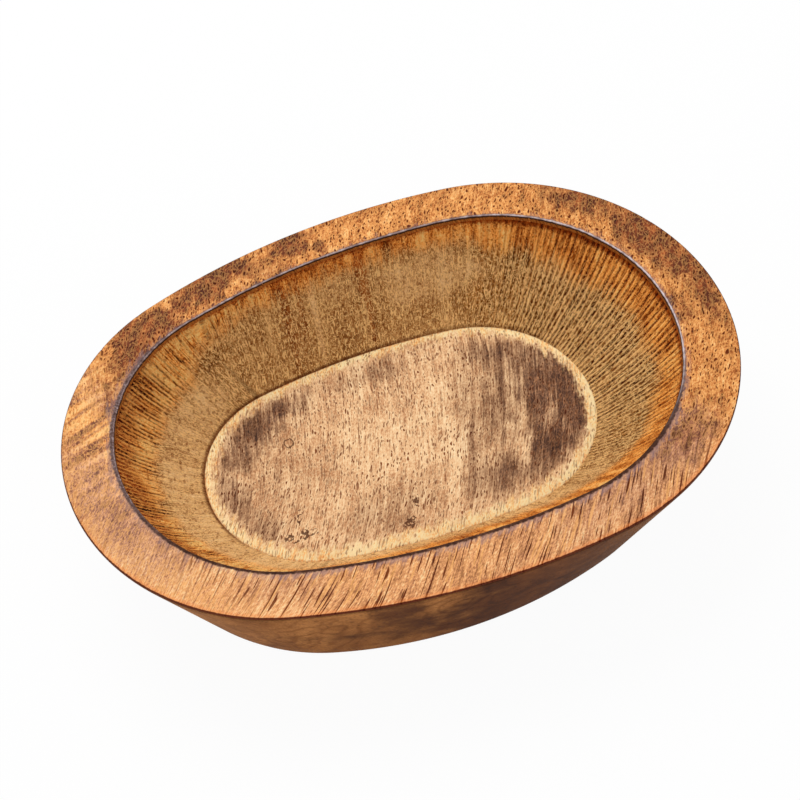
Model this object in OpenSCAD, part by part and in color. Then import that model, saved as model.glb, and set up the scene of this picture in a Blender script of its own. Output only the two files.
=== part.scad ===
// Dough bowl carved from one block of wood. Its outlines are egg shaped: a
// flat rim, an outside that tapers straight down to a flat base, and a hollow
// with a rounded lip, a coved wall and a flat floor.

/* [Overall] */
// Length over the rim
bowl_l = 254; // [230:1:320]
// Width over the rim
bowl_w = 179; // [165:1:205]
// Height from the table to the top of the rim
bowl_h = 51; // [42:1:80]

/* [Rim] */
// Width of the flat rim at each end of the bowl
rim_end_w = 20.4; // [14:0.2:26]
// Width of the flat rim along each side, with the hollow in the middle
rim_side_w = 18.6; // [13:0.2:24]
// Height of the narrow upright band round the rim's outer edge
rim_band_h = 1.6; // [1.5:0.1:4]
// Softening of the rim's outer edge
rim_edge_r = 0.6; // [0.3:0.1:0.7]
// Rounding of the lip between the rim and the hollow
lip_r = 1.9; // [1:0.1:2.4]
// Depth of the lip's upright face below the rim
lip_h = 2.8; // [2.6:0.1:5]
// How far the wall is cut back under the lip
lip_undercut = 0.5; // [0.2:0.1:1.2]

/* [Hollow] */
// Length of the flat floor inside the bowl
floor_l = 149; // [130:1:165]
// Width of the flat floor inside the bowl
floor_w = 91; // [80:1:105]
// Thickness of the wood under the floor
floor_t = 19; // [12:1:26]
// Width of the strip along the floor's edge that dips to the wall
floor_strip_w = 5; // [3:0.5:10]
// Depth of that dip where the floor meets the wall
floor_dip = 0.8; // [0.3:0.1:1.5]
// How far the hollow lies behind the middle of the block
hollow_off = 2.6; // [0:0.1:4]

/* [Base] */
// Length of the base, before its edge is rounded
base_l = 198; // [180:1:215]
// Width of the base, before its edge is rounded
base_w = 146; // [130:1:155]
// Rounding of the base's edge
base_edge_r = 3.5; // [1:0.1:6]

/* [Egg shape] */
// Radius of the rim's narrow end, as a share of half its width
rim_narrow_share = 0.89; // [0.8:0.01:0.95]
// Radius of the rim's broad end, as a share of half its width
rim_broad_share = 0.98; // [0.85:0.01:0.99]
// Radius of the floor's narrow end, as a share of half its width
floor_narrow_share = 0.91; // [0.8:0.01:0.97]
// Radius of the floor's broad end, as a share of half its width
floor_broad_share = 0.97; // [0.85:0.01:0.99]
// Radius of each end of the base, as a share of half its width
base_end_share = 0.93; // [0.85:0.01:0.98]

/* [Hidden] */

// Points round each outline, and steps along a rounding and along the cove
outline_steps = 128;
round_steps = 4;
cove_steps = 9;

// Where the cove's guide lies between the lip and the floor: how much of the
// way in, and how much of the way down
cove_in_share = 0.4;
cove_down_share = 0.6;

// Height of the lip's foot, where the wall starts
lip_foot_z = bowl_h - lip_h;

// Outline as half its length, half its width and the radii of its two ends
function outline(length, width, narrow_share, broad_share) =
    [length / 2, width / 2, width / 2 * narrow_share, width / 2 * broad_share];

// The same outline drawn in by one distance all round
function inset(shape, distance) = [for (size = shape) size - distance];

// Point where the outline faces the angle turn. Four arcs that run smoothly
// into each other draw it: one round each end and one along each side.
function outline_point(shape, turn) =
    let (
        narrow_r = shape[2],
        broad_r = shape[3],
        narrow_gap = shape[1] - narrow_r,
        broad_gap = shape[1] - broad_r,
        span = 2 * shape[0] - narrow_r - broad_r,
        skew = broad_gap - narrow_gap,
        root = sqrt(narrow_gap * broad_gap * (span * span - skew * skew)),
        narrow_run = narrow_gap * (span * span - broad_gap * skew) / (narrow_gap * span + root),
        beyond = (narrow_run * narrow_run / narrow_gap - narrow_gap) / 2,
        side = sin(turn) < 0 ? -1 : 1,
        fold = acos(cos(turn)),
        on_broad = fold < atan2(beyond, span - narrow_run),
        on_narrow = fold > atan2(beyond, -narrow_run),
        centre = on_broad ? [shape[0] - broad_r, 0]
            : on_narrow ? [narrow_r - shape[0], 0]
            : [narrow_run + narrow_r - shape[0], -side * beyond],
        radius = on_broad ? broad_r : on_narrow ? narrow_r : shape[1] + beyond
    )
    centre + radius * [cos(turn), sin(turn)];

// A station of the profile: an outline, its height and how far it lies behind
// the middle of the block
function station(shape, z, off = 0) = concat(shape, [z, off]);

// Every station of a run but the first, which the run before it already holds
function rest_of(run) = [for (i = [1 : len(run) - 1]) run[i]];

// Distance between two stations, measured at the end of the bowl
function apart(from, to) = norm([to[0] - from[0], to[4] - from[4]]);

// Smooth run of stations from one to another, drawn towards a guide station
function curve(from, guide, to, steps) =
    [for (i = [0 : steps])
        let (t = i / steps)
        from * (1 - t) * (1 - t) + guide * 2 * t * (1 - t) + to * t * t];

// Rounding that cuts the corner between two neighbours by the same distance
function rounding(before, corner, after, cut) =
    curve(
        corner + (before - corner) * cut / apart(before, corner),
        corner,
        corner + (after - corner) * cut / apart(corner, after),
        round_steps
    );

rim = outline(bowl_l, bowl_w, rim_narrow_share, rim_broad_share);
lip = outline(bowl_l - 2 * rim_end_w, bowl_w - 2 * rim_side_w, rim_narrow_share, rim_broad_share);
floor_edge = outline(floor_l, floor_w, floor_narrow_share, floor_broad_share);
base = outline(base_l, base_w, base_end_share, base_end_share);

// Corners of the profile, from the base up the outside and down the hollow
base_middle = station(inset(base, 2 * base_edge_r), 0);
base_corner = station(base, 0);
band_corner = station(rim, bowl_h - rim_band_h);
rim_corner = station(rim, bowl_h);
lip_corner = station(lip, bowl_h, hollow_off);
lip_foot = station(lip, lip_foot_z, hollow_off);
wall_top = station(inset(lip, -lip_undercut), lip_foot_z - lip_undercut, hollow_off);
cove_guide = station(
    lip + (floor_edge - lip) * cove_in_share,
    lip_foot_z + (floor_t - lip_foot_z) * cove_down_share,
    hollow_off
);
wall_foot = station(floor_edge, floor_t - floor_dip, hollow_off);
strip_guide = station(inset(floor_edge, floor_strip_w / 2), floor_t, hollow_off);
floor_flat = station(inset(floor_edge, floor_strip_w), floor_t, hollow_off);

stations = concat(
    rounding(base_middle, base_corner, band_corner, base_edge_r),
    rounding(base_corner, band_corner, rim_corner, rim_edge_r),
    rounding(band_corner, rim_corner, lip_corner, rim_edge_r),
    rounding(rim_corner, lip_corner, lip_foot, lip_r),
    [lip_foot],
    curve(wall_top, cove_guide, wall_foot, cove_steps),
    rest_of(curve(wall_foot, strip_guide, floor_flat, round_steps))
);

// Solid skinned over a run of outlines, closed flat at both ends
module skin(run) {
    last = len(run) - 1;
    points = [for (level = run)
        for (i = [0 : outline_steps - 1])
            let (spot = outline_point(level, 360 * i / outline_steps))
            [spot[0], spot[1] + level[5], level[4]]];
    sides = [for (k = [0 : last - 1])
        for (i = [0 : outline_steps - 1])
            let (
                next = (i + 1) % outline_steps,
                low = k * outline_steps,
                high = low + outline_steps
            )
            each [[low + i, high + i, high + next], [low + i, high + next, low + next]]];
    bottom = [for (i = [0 : outline_steps - 1]) i];
    top = [for (i = [outline_steps - 1 : -1 : 0]) last * outline_steps + i];
    polyhedron(points, concat(sides, [bottom, top]), convexity = 4);
}

module bowl() {
    color("#a9713c") skin(stations);
}

bowl();
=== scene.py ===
"""Oval dough bowl carved from one block of oiled wood, on a pale studio floor.

The block is egg shaped in plan. A flat rim runs round a hollow with a burnished
lip, a wall ribbed by the gouge at both ends and a flat floor. The rim and the
floor are scorched in patches, and the grain runs askew through the whole block.
Sizes and places are in millimetres until a mesh or a lamp is made.
"""

import logging
import math
from dataclasses import astuple, dataclass, field, replace
from enum import Enum

import bmesh
import bpy
from mathutils import Matrix, Vector, noise


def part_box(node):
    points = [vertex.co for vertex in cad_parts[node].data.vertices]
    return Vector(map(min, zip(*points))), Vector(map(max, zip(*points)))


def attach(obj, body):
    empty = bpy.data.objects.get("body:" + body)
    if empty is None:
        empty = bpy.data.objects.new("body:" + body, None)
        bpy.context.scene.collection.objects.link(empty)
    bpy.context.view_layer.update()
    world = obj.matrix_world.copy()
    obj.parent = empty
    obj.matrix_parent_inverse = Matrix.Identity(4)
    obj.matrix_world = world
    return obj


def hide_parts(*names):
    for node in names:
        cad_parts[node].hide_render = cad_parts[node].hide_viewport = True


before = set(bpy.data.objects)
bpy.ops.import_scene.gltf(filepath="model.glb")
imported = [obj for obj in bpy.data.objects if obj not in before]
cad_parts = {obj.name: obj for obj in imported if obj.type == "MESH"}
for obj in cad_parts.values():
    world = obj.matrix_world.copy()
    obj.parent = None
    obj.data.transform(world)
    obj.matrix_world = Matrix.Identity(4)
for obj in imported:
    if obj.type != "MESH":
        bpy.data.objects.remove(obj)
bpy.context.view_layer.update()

MM = 0.001
TONE_STOPS = (0.12, 0.42, 0.62, 0.88)  # where a stretch of wood has its four tones
NOISE_SPAN = (0.27, 0.73)  # what Blender's noise mostly stays within
ROUND = 516.0  # one turn round the wall, from its right end by way of the back
LOOP_RADIUS = 82.0  # of the circle that the finishes wind that turn on
WALL_RUN = 36.0  # the way down the wall
FAR_IN = 20.0  # a distance from the rim's outer edge that its finish takes no note of
RING_NOTES = ("down", "depth", "from_lip", "from_edge", "inside")
WALL_NOTES = ("toast", "pale", "olive", "streak", "ribbed")
LOOP_NOTES = ("loop_x", "loop_y")
Line = tuple[tuple[float, float], ...]
Shade = tuple[int, int, int]
log = logging.getLogger("dough_bowl")


class Zone(Enum):
    """Parts of the bowl's skin, each with a finish of its own."""

    BASE = 0
    SIDE = 1
    RIM = 2
    WALL = 3
    FLOOR = 4


@dataclass(frozen=True)
class Egg:
    """An egg-shaped outline: half its length and width, its end radii and its place."""

    half_length: float
    half_width: float
    narrow: float
    broad: float
    height: float = 0.0
    back: float = 0.0

    @classmethod
    def of_size(cls, length: float, width: float, narrow: float, broad: float,
                height: float = 0.0, back: float = 0.0) -> "Egg":
        """Makes an outline from whole sizes.

        Args:
            length: Length over both ends.
            width: Width across the middle.
            narrow: Radius of the narrow end, as a share of half the width.
            broad: Radius of the broad end, as a share of half the width.
            height: Height above the table.
            back: How far it lies behind the middle of the block.

        Returns:
            The outline.
        """
        return cls(length / 2, width / 2, width / 2 * narrow, width / 2 * broad, height, back)

    def grown(self, distance: float) -> "Egg":
        """Returns the outline drawn out by one distance all round."""
        return Egg(self.half_length + distance, self.half_width + distance,
                   self.narrow + distance, self.broad + distance, self.height, self.back)

    def scaled(self, share: float) -> "Egg":
        """Returns the outline scaled about its middle at the same height."""
        return Egg(self.half_length * share, self.half_width * share, self.narrow * share,
                   self.broad * share, self.height, self.back)

    def at(self, height: float) -> "Egg":
        """Returns the outline at another height."""
        return replace(self, height=height)

    def towards(self, other: "Egg", share: float) -> "Egg":
        """Returns the outline that lies the given share of the way to another."""
        return Egg(*(a + (b - a) * share for a, b in zip(astuple(self), astuple(other))))

    def apart(self, other: "Egg") -> float:
        """Returns the distance to another outline, measured at the bowl's end."""
        return math.hypot(other.half_length - self.half_length, other.height - self.height)

    def arcs(self) -> tuple[float, float, float, float]:
        """Works out the four arcs that draw the outline.

        Returns:
            Run from the narrow centre to the side arc's centre, how far that
            centre lies beyond the long axis, and the turns where the broad and
            the narrow arc end.
        """
        narrow_gap = self.half_width - self.narrow
        broad_gap = self.half_width - self.broad
        span = 2 * self.half_length - self.narrow - self.broad
        skew = broad_gap - narrow_gap
        root = math.sqrt(narrow_gap * broad_gap * (span * span - skew * skew))
        run = narrow_gap * (span * span - broad_gap * skew) / (narrow_gap * span + root)
        beyond = (run * run / narrow_gap - narrow_gap) / 2
        return run, beyond, math.atan2(beyond, span - run), math.atan2(beyond, -run)

    def points(self, turns: list[float]) -> list[tuple[float, float]]:
        """Finds the points of the outline that face the given angles.

        Args:
            turns: Angles from the long axis, in radians, from -pi to pi.

        Returns:
            A point for each angle, with the outline's shift to the back.
        """
        run, beyond, broad_end, narrow_end = self.arcs()
        placed = []
        for turn in turns:
            side, fold = (-1 if turn < 0 else 1), abs(turn)
            if fold < broad_end:
                centre, radius = (self.half_length - self.broad, 0.0), self.broad
            elif fold > narrow_end:
                centre, radius = (self.narrow - self.half_length, 0.0), self.narrow
            else:
                centre = (run + self.narrow - self.half_length, -side * beyond)
                radius = self.half_width + beyond
            placed.append((centre[0] + radius * math.cos(turn),
                           centre[1] + radius * math.sin(turn) + self.back))
        return placed


def smooth(low: float, high: float, value: float) -> float:
    """Returns 0 below low, 1 above high and a smooth step between them."""
    share = min(1.0, max(0.0, (value - low) / (high - low)))
    return share * share * (3 - 2 * share)


def course(guide: Line, at: float) -> float:
    """Reads a value off a line of (place, value) points that rise in place."""
    if at <= guide[0][0]:
        return guide[0][1]
    for (a, low), (b, high) in zip(guide, guide[1:]):
        if at <= b:
            return low + (high - low) * (at - a) / (b - a)
    return guide[-1][1]


def bumps(size: float, seed: float, x: float, y: float) -> float:
    """Returns noise from -1 to 1 with features of the given size."""
    return noise.noise((x / size, y / size, seed))


def rows(kind: type, *values: tuple[float, ...]) -> tuple:
    """Returns one patch of a kind for each row of its values."""
    return tuple(kind(*row) for row in values)


@dataclass(frozen=True)
class Ring:
    """A station of the bowl's profile: its outline, zone and place on the skin."""

    egg: Egg
    zone: Zone
    down: float = 0.0
    depth: float = 0.0
    from_lip: float = 0.0
    from_edge: float = 0.0
    inside: float = 0.0


@dataclass
class Profile:
    """The bowl's profile from the middle of its base to the middle of its floor."""

    length: float
    width: float
    height: float
    rim_end_width: float = 20.4
    rim_side_width: float = 18.6
    rim_band: float = 1.6
    rim_edge_radius: float = 0.6
    lip_radius: float = 1.9
    lip_height: float = 2.8
    lip_undercut: float = 0.5
    floor_length: float = 149.0
    floor_width: float = 91.0
    floor_thickness: float = 19.0
    floor_strip: float = 5.0
    floor_dip: float = 0.8
    hollow_back: float = 2.6
    base_length: float = 198.0
    base_width: float = 146.0
    base_edge_radius: float = 3.5
    wall_steps: int = 34
    cove_in: float = 0.4
    cove_down: float = 0.6
    base_middle_down: float = 90.0
    base_edge_down: float = 62.0
    side_foot_down: float = 57.0
    band_down: float = 2.0
    under_lip: float = -3.5
    floor_rings: tuple[float, ...] = (7.0, 9.0, 12.0, 15.0, 20.0, 25.0)
    floor_middle: tuple[float, ...] = (0.7, 0.4, 0.15, 0.03)
    rings: list[Ring] = field(default_factory=list)
    rim: Egg = field(init=False)
    lip: Egg = field(init=False)
    floor: Egg = field(init=False)
    base: Egg = field(init=False)
    foot: float = field(init=False)
    side_foot: list[Egg] = field(init=False)
    wall_middle: Egg = field(init=False)

    def __post_init__(self) -> None:
        """Lays the outlines and then the rings of the whole profile."""
        back = self.hollow_back
        self.rim = Egg.of_size(self.length, self.width, 0.89, 0.98, self.height)
        self.lip = Egg.of_size(self.length - 2 * self.rim_end_width,
                               self.width - 2 * self.rim_side_width, 0.89, 0.98, self.height, back)
        self.floor = Egg.of_size(self.floor_length, self.floor_width, 0.91, 0.97,
                                 self.floor_thickness, back)
        self.base = Egg.of_size(self.base_length, self.base_width, 0.93, 0.93)
        self.foot = self.height - self.lip_height
        self.lay_base()
        self.lay_side()
        self.lay_rim()
        self.lay_wall()
        self.lay_floor()

    def add(self, egg: Egg, zone: Zone, **notes: float) -> None:
        """Adds a station to the profile."""
        self.rings.append(Ring(egg, zone, **notes))

    @staticmethod
    def curve(start: Egg, guide: Egg, end: Egg, steps: int) -> list[Egg]:
        """Draws a smooth run of outlines from start to end, pulled towards guide."""
        run = []
        for step in range(steps + 1):
            t = step / steps
            run.append(start.towards(guide, t).towards(guide.towards(end, t), t))
        return run

    def rounding(self, before: Egg, corner: Egg, after: Egg, cut: float, steps: int) -> list[Egg]:
        """Rounds a corner of the profile.

        Args:
            before: The corner before it.
            corner: The corner itself.
            after: The corner after it.
            cut: How far from the corner the rounding starts and ends.
            steps: Steps along the rounding.

        Returns:
            The outlines along the rounding.
        """
        start = corner.towards(before, cut / corner.apart(before))
        end = corner.towards(after, cut / corner.apart(after))
        return self.curve(start, corner, end, steps)

    def lay_base(self) -> None:
        """Lays the flat underside and its rounded edge."""
        middle = self.base.grown(-2 * self.base_edge_radius)
        self.side_foot = self.rounding(middle, self.base, self.rim.at(self.height - self.rim_band),
                                       self.base_edge_radius, 5)
        for share in (0.05, 0.4, 0.8):
            self.add(middle.scaled(share), Zone.BASE, down=self.base_middle_down - 30 * share)
        for step, egg in enumerate(self.side_foot):
            self.add(egg, Zone.BASE if step < 3 else Zone.SIDE, down=self.base_edge_down - step)

    def lay_side(self) -> None:
        """Lays the outside, up to the crisp edge of the rim."""
        band = self.rim.at(self.height - self.rim_band)
        over = self.rounding(self.base, band, self.rim, self.rim_edge_radius, 3)
        run = self.side_foot_down - self.band_down
        for step in range(1, 8):
            self.add(self.side_foot[-1].towards(over[0], step / 8), Zone.SIDE,
                     down=self.side_foot_down - run * step / 8)
        for step, egg in enumerate(over):
            self.add(egg, Zone.SIDE, down=self.band_down - 0.3 * step)

    def lay_rim(self) -> None:
        """Lays the flat rim between its crisp outer edge and its burnished lip."""
        band = self.rim.at(self.height - self.rim_band)
        edge = self.rounding(band, self.rim, self.lip, self.rim_edge_radius, 4)
        lip_foot = self.lip.at(self.foot)
        lip = self.rounding(self.rim, self.lip, lip_foot, self.lip_radius, 7)
        flat = self.rim_end_width - self.rim_edge_radius - self.lip_radius
        stations = [(egg, (step - 2) * 0.3) for step, egg in enumerate(edge)]
        stations += [(edge[-1].towards(lip[0], step / 10), self.rim_edge_radius + flat * step / 10)
                     for step in range(1, 10)]
        for egg, out in stations:
            self.add(egg, Zone.RIM, from_lip=self.rim_end_width - out, from_edge=out)
        for step, egg in enumerate(lip):
            self.add(egg, Zone.RIM, from_lip=self.lip_radius * (1 - 2 * step / 7),
                     from_edge=FAR_IN)
        for share in (0.5, 1.0):
            self.add(lip[-1].towards(lip_foot, share), Zone.RIM,
                     from_lip=-self.lip_radius - 0.9 * share, from_edge=FAR_IN)

    def lay_wall(self) -> None:
        """Lays the wall of the hollow from under the lip to the floor."""
        top = self.lip.grown(self.lip_undercut).at(self.foot - self.lip_undercut)
        guide = self.lip.towards(self.floor, self.cove_in).at(
            self.foot + (self.floor_thickness - self.foot) * self.cove_down)
        end = self.floor.at(self.floor_thickness - self.floor_dip)
        for step, egg in enumerate(self.curve(top, guide, end, self.wall_steps)):
            share = step / self.wall_steps
            self.add(egg, Zone.WALL, down=WALL_RUN * share, depth=share, from_lip=self.under_lip,
                     inside=-WALL_RUN * (1 - share))
        self.wall_middle = self.curve(top, guide, end, 10)[4]

    def lay_floor(self) -> None:
        """Lays the dipped strip round the floor and the flat floor inside it."""
        end = self.floor.at(self.floor_thickness - self.floor_dip)
        strip = self.curve(end, self.floor.grown(-self.floor_strip / 2),
                           self.floor.grown(-self.floor_strip), 6)
        stations = [(egg, self.floor_strip * step / 6) for step, egg in enumerate(strip[1:], 1)]
        stations += [(self.floor.grown(-inward), inward) for inward in self.floor_rings]
        last, inward = stations[-1]
        stations += [(last.scaled(share), inward + 20 * (1 - share))
                     for share in self.floor_middle]
        for egg, inside in stations:
            self.add(egg, Zone.FLOOR, depth=1.0, inside=inside)


@dataclass
class GougeMarks:
    """Ribs that the gouge left down the wall, close at both ends of the hollow."""

    wall: Egg
    columns_per_rib: int = 5
    right_height: float = 0.42
    left_height: float = 0.24
    left_from: float = 150
    left_to: float = 360
    left_fade: float = 0.85
    crest_power: float = 1.4
    crest_level: float = 0.35
    rib_variety: float = 0.55
    walk_steps: int = 4000
    pitches: Line = (
        (0, 2.3), (40, 2.1), (72, 1.95), (88, 5.2), (172, 5.2), (188, 1.6), (246, 1.65),
        (304, 1.6), (320, 5.2), (430, 5.2), (448, 1.95), (480, 2.1), (ROUND, 2.3))
    strengths: Line = (
        (0, 1.0), (45, 0.9), (72, 0.25), (95, 0.0), (160, 0.0), (188, 0.7), (215, 1.0),
        (280, 1.0), (305, 0.5), (325, 0.0), (440, 0.0), (456, 0.2), (474, 0.55), (494, 0.95),
        (ROUND, 1.0))
    left_ends: Line = (
        (150, 0.2), (188, 0.25), (200, 0.42), (230, 0.5), (265, 0.5), (300, 0.55), (360, 0.6))
    walk: list[float] = field(default_factory=lambda: [0.0])
    walk_turn: list[float] = field(default_factory=lambda: [0.0])
    phase: list[float] = field(default_factory=list)
    along: list[float] = field(default_factory=list)
    turns: list[float] = field(default_factory=list)
    count: list[float] = field(init=False)
    whole: float = field(init=False)
    ribs: int = field(init=False)
    columns: int = field(init=False)

    def __post_init__(self) -> None:
        """Walks once round the wall and lays out the columns of the mesh."""
        fine = self.walk_steps
        turns = [-math.pi + math.tau * i / fine for i in range(fine + 1)]
        places = self.wall.points(turns)
        half = fine // 2
        order = list(range(half, fine)) + list(range(0, half + 1))
        for a, b in zip(order, order[1:]):
            self.walk.append(self.walk[-1] + math.dist(places[a], places[b]))
            turn = turns[b]
            self.walk_turn.append(turn if turn >= 0 and len(self.walk_turn) < half + 2
                                  else turn + math.tau)
        self.whole = self.walk[-1]
        count = [0.0]
        for a, b in zip(self.walk, self.walk[1:]):
            middle = (a + b) / 2 * ROUND / self.whole
            count.append(count[-1] + (b - a) / course(self.pitches, middle))
        self.ribs = round(count[-1])
        self.count = [c * self.ribs / count[-1] for c in count]
        self.lay_columns()

    def lay_columns(self) -> None:
        """Spreads the mesh's columns evenly over the ribs."""
        self.columns = self.ribs * self.columns_per_rib
        spot = 0
        for column in range(self.columns):
            phase = column / self.columns_per_rib
            while self.count[spot + 1] < phase:
                spot += 1
            share = (phase - self.count[spot]) / (self.count[spot + 1] - self.count[spot])
            walked, turn = (line[spot] + (line[spot + 1] - line[spot]) * share
                            for line in (self.walk, self.walk_turn))
            self.phase.append(phase)
            self.along.append(walked * ROUND / self.whole)
            self.turns.append(math.remainder(turn, math.tau))

    def at_left(self, along: float) -> bool:
        """Says whether a place lies in the left part of the wall."""
        return self.left_from < along < self.left_to

    def strength(self, along: float, depth: float) -> float:
        """Returns how strongly the wall is ribbed at a place, less far down at the left."""
        strong = course(self.strengths, along)
        if not self.at_left(along):
            return strong
        end = course(self.left_ends, along)
        return strong * (1 - self.left_fade * smooth(end - 0.08, end + 0.10, depth))

    def height(self, column: int, depth: float) -> float:
        """Works out how far a rib stands into the hollow.

        Args:
            column: The mesh's column.
            depth: Share of the way down the wall.

        Returns:
            Height over the plain wall, in millimetres.
        """
        along, phase = self.along[column], self.phase[column]
        share = self.strength(along, depth)
        if share <= 0:
            return 0.0
        tall = self.left_height if self.at_left(along) else self.right_height
        crest = abs(2 * (phase % 1.0) - 1) ** self.crest_power
        rib = noise.noise((math.floor(phase) * 7.31, depth * 3.1, 4.2))
        fade = smooth(0.0, 0.06, depth) * (1 - smooth(0.78, 0.97, depth))
        return tall * share * fade * (crest - self.crest_level) * (1 + self.rib_variety * rib)


@dataclass(frozen=True)
class WallPatch:
    """A soft patch on the wall, placed round it and down it."""

    along: float
    depth: float
    half_along: float
    half_depth: float
    strength: float = 1.0
    full_to: float = 0.45
    none_from: float = 1.3

    def share(self, along: float, depth: float) -> float:
        """Returns how much of the patch reaches a place on the wall."""
        gap = abs(along - self.along)
        gap = min(gap, ROUND - gap)
        reach = math.hypot(gap / self.half_along, (depth - self.depth) / self.half_depth)
        return self.strength * (1 - smooth(self.full_to, self.none_from, reach))


@dataclass
class WallStains:
    """Where the wall is toasted orange, pale, olive brown or streaked."""

    toast_slope: float = 2.2
    toasted: Line = (
        (0, 0.34), (30, 0.36), (60, 0.30), (90, 0.16), (130, 0.14), (170, 0.16), (184, 0.22),
        (196, 0.42), (225, 0.50), (265, 0.46), (300, 0.62), (340, 0.72), (400, 0.78),
        (440, 0.62), (470, 0.40), (495, 0.34), (ROUND, 0.34))
    pale: tuple[WallPatch, ...] = rows(
        WallPatch, (97, 0.45, 22, 0.30, 0.75), (128, 0.30, 12, 0.20, 0.45),
        (142, 0.45, 1.8, 0.6, 0.9), (230, 0.78, 48, 0.34, 0.75),
        (290, 0.80, 45, 0.36, 1.0), (345, 0.85, 60, 0.40, 1.0),
        (410, 0.85, 50, 0.40, 0.7), (446, 0.75, 25, 0.35, 0.45))
    olive: tuple[WallPatch, ...] = rows(
        WallPatch, (8, 0.62, 44, 0.40, 1.0), (58, 0.75, 34, 0.38, 0.75),
        (65, 0.32, 16, 0.18, 0.8), (494, 0.60, 30, 0.34, 0.9),
        (186, 0.42, 14, 0.12, 0.55), (118, 0.85, 60, 0.25, 0.35))
    streak: tuple[WallPatch, ...] = rows(
        WallPatch, (122, 0.2, 2.4, 0.4, 0.9), (120, 0.6, 1.6, 0.5, 0.9),
        (153, 0.3, 2.0, 0.8, 1.0), (152, 0.55, 5.0, 0.4, 0.5),
        (147, 0.3, 1.6, 0.5, 0.7), (74, 0.2, 1.6, 0.4, 0.5),
        (166, 0.25, 1.4, 0.5, 0.4), (232, 0.12, 6.0, 0.22, 0.7),
        (258, 0.10, 14.0, 0.34, 0.9), (284, 0.08, 14.0, 0.30, 0.9))

    def notes(self, along: float, depth: float) -> dict[str, float]:
        """Reads the stains at a place on the wall.

        Args:
            along: How far round the wall it lies.
            depth: Share of the way down the wall.

        Returns:
            How toasted it is, 0.5 on the border, and how pale, olive and streaked.
        """
        notes = {key: max(patch.share(along, depth) for patch in getattr(self, key))
                 for key in ("pale", "olive", "streak")}
        notes["toast"] = 0.5 + (course(self.toasted, along) - depth) * self.toast_slope
        return notes


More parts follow.
